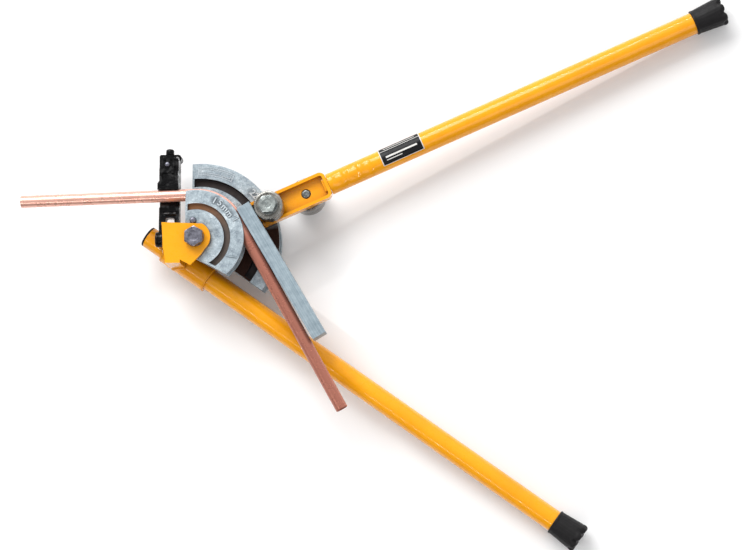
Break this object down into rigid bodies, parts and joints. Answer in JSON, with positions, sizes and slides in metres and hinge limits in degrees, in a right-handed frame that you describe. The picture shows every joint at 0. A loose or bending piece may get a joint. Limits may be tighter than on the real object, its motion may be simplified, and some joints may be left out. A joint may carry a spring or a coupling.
{
  "type": "manual tube bender",
  "caption": "Hand tube bender: a long lever with guide rollers swings about two grooved formers on a fixed handle, bending copper tube held by a hinged stop.",
  "frame": {"origin": "centre of the pivot bolt's flat lower end", "axes": "+Z along the pivot axis from the rear cheek to the bolt head, +X roughly along the handles"},
  "size_m": [0.8723, 0.6744, 0.1054],
  "materials": {
    "yellow_paint": "gloss",
    "bolt_steel": "dark zinc plated",
    "roller_steel": "turned",
    "cast_aluminium": "as cast",
    "guide_aluminium": "extruded",
    "black_rubber": "matt",
    "black_enamel": "gloss",
    "label_print": "printed",
    "copper": "drawn copper",
    "bronze": "machined"
  },
  "bodies": {
    "frame": {"fixed_handle_tube": "yellow_paint", "fixed_handle_cap": "black_rubber", "fixed_handle_plug": "black_rubber", "handle_collar": "yellow_paint", "front_cheek": "yellow_paint", "rear_cheek": "yellow_paint", "frame_web": "yellow_paint", "pivot_bolt": "bolt_steel", "pivot_nut": "bolt_steel", "pivot_washer_front": "bolt_steel", "pivot_washer_rear": "bolt_steel", "former_15": "cast_aluminium", "former_22": "cast_aluminium", "front_dowel": "bolt_steel", "rear_dowel": "bolt_steel", "stop_pivot_pin": "black_enamel", "stop_clip": "bolt_steel", "copper_tube": "copper"},
    "lever": {"lever_link": "yellow_paint", "lever_shank": "yellow_paint", "lever_handle_tube": "yellow_paint", "lever_handle_cap": "black_rubber", "lever_label": "label_print", "pivot_bush": "bronze", "roller_15_bolt": "bolt_steel", "roller_15_spacer": "bolt_steel", "roller_15_washer": "bolt_steel", "roller_22_pin": "bolt_steel"},
    "roller_15": {"roller_15": "roller_steel"},
    "roller_22": {"roller_22": "roller_steel"},
    "guide": {"guide_15": "guide_aluminium"},
    "stop": {"stop_arm": "black_enamel", "stop_top_screw": "black_enamel", "saddle_pin": "bolt_steel"},
    "saddle": {"stop_saddle": "black_enamel"}
  },
  "joints": [
    {"name": "lever_swing", "type": "hinge", "parent": "frame", "child": "lever", "pos_m": [0, 0, 0.0594], "axis": [0, 0, 1], "range_deg": [-54, 58], "deforming": ["copper_tube"]},
    {"name": "roller_15_spin", "type": "hinge", "parent": "lever", "child": "roller_15", "pos_m": [0.08915, 0.03923, 0.0778], "axis": [0, 0, 1], "continuous": true},
    {"name": "roller_22_spin", "type": "hinge", "parent": "lever", "child": "roller_22", "pos_m": [0.13227, 0.05768, 0.0368], "axis": [0, 0, 1], "continuous": true},
    {"name": "guide_slide", "type": "slide", "parent": "lever", "child": "guide", "axis": [0.506, -0.8625, 0], "range_m": [-0.014, 0.014]},
    {"name": "stop_swing", "type": "hinge", "parent": "frame", "child": "stop", "pos_m": [-0.0355, 0.0028, 0.059], "axis": [1, 0, 0], "range_deg": [-35, 0]},
    {"name": "saddle_tilt", "type": "hinge", "parent": "stop", "child": "saddle", "pos_m": [-0.036, 0.092, 0.076], "axis": [0, 0, 1], "range_deg": [-3, 3]}
  ]
}
